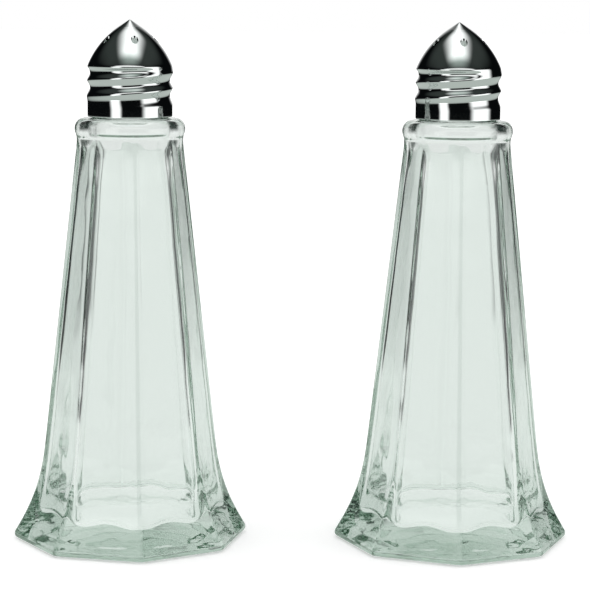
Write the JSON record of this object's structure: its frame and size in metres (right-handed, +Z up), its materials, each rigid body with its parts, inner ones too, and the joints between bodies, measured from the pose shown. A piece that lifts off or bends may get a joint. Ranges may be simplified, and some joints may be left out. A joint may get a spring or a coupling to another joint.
{
  "type": "salt and pepper shakers",
  "caption": "Flared eight-sided clear glass table shakers with pointed plated screw caps that have pour holes.",
  "frame": {"origin": "on the table midway between the two shakers, the middle of their joint outline", "axes": "+Z up, +X from the salt shaker to the pepper shaker, -Y the side that faces the viewer"},
  "size_m": [0.123, 0.0518, 0.1144],
  "materials": {
    "clear_glass": "pressed soda-lime glass with a faint green tint",
    "plated_metal": "thin sheet, polished and chrome plated",
    "ring_plastic": "moulded white polythene"
  },
  "bodies": {
    "salt_bottle": {"salt_bottle": "clear_glass"},
    "salt_ring": {"salt_seal_ring": "ring_plastic"},
    "salt_cap": {"salt_cap": "plated_metal"},
    "pepper_bottle": {"pepper_bottle": "clear_glass"},
    "pepper_ring": {"pepper_seal_ring": "ring_plastic"},
    "pepper_cap": {"pepper_cap": "plated_metal"}
  },
  "joints": [
    {"name": "salt_cap_turn", "type": "hinge", "parent": "salt_ring", "child": "salt_cap", "pos_m": [-0.03592, 0, 0.09345], "axis": [0, 0, 1], "range_deg": [0, 540]},
    {"name": "salt_cap_rise", "type": "slide", "parent": "salt_bottle", "child": "salt_ring", "axis": [0, 0, 1], "range_m": [0, 0.00477]},
    {"name": "pepper_cap_turn", "type": "hinge", "parent": "pepper_ring", "child": "pepper_cap", "pos_m": [0.03558, 0, 0.09345], "axis": [0, 0, 1], "range_deg": [0, 540]},
    {"name": "pepper_cap_rise", "type": "slide", "parent": "pepper_bottle", "child": "pepper_ring", "axis": [0, 0, 1], "range_m": [0, 0.00477]},
    {"name": "pepper_lift", "type": "slide", "parent": "salt_bottle", "child": "pepper_bottle", "axis": [0, 0, 1], "range_m": [0, 0.15]}
  ],
  "couplings": [
    {"joint": "salt_cap_rise", "follows": "salt_cap_turn", "m_per_rad": 0.00050532},
    {"joint": "pepper_cap_rise", "follows": "pepper_cap_turn", "m_per_rad": 0.00050532}
  ]
}
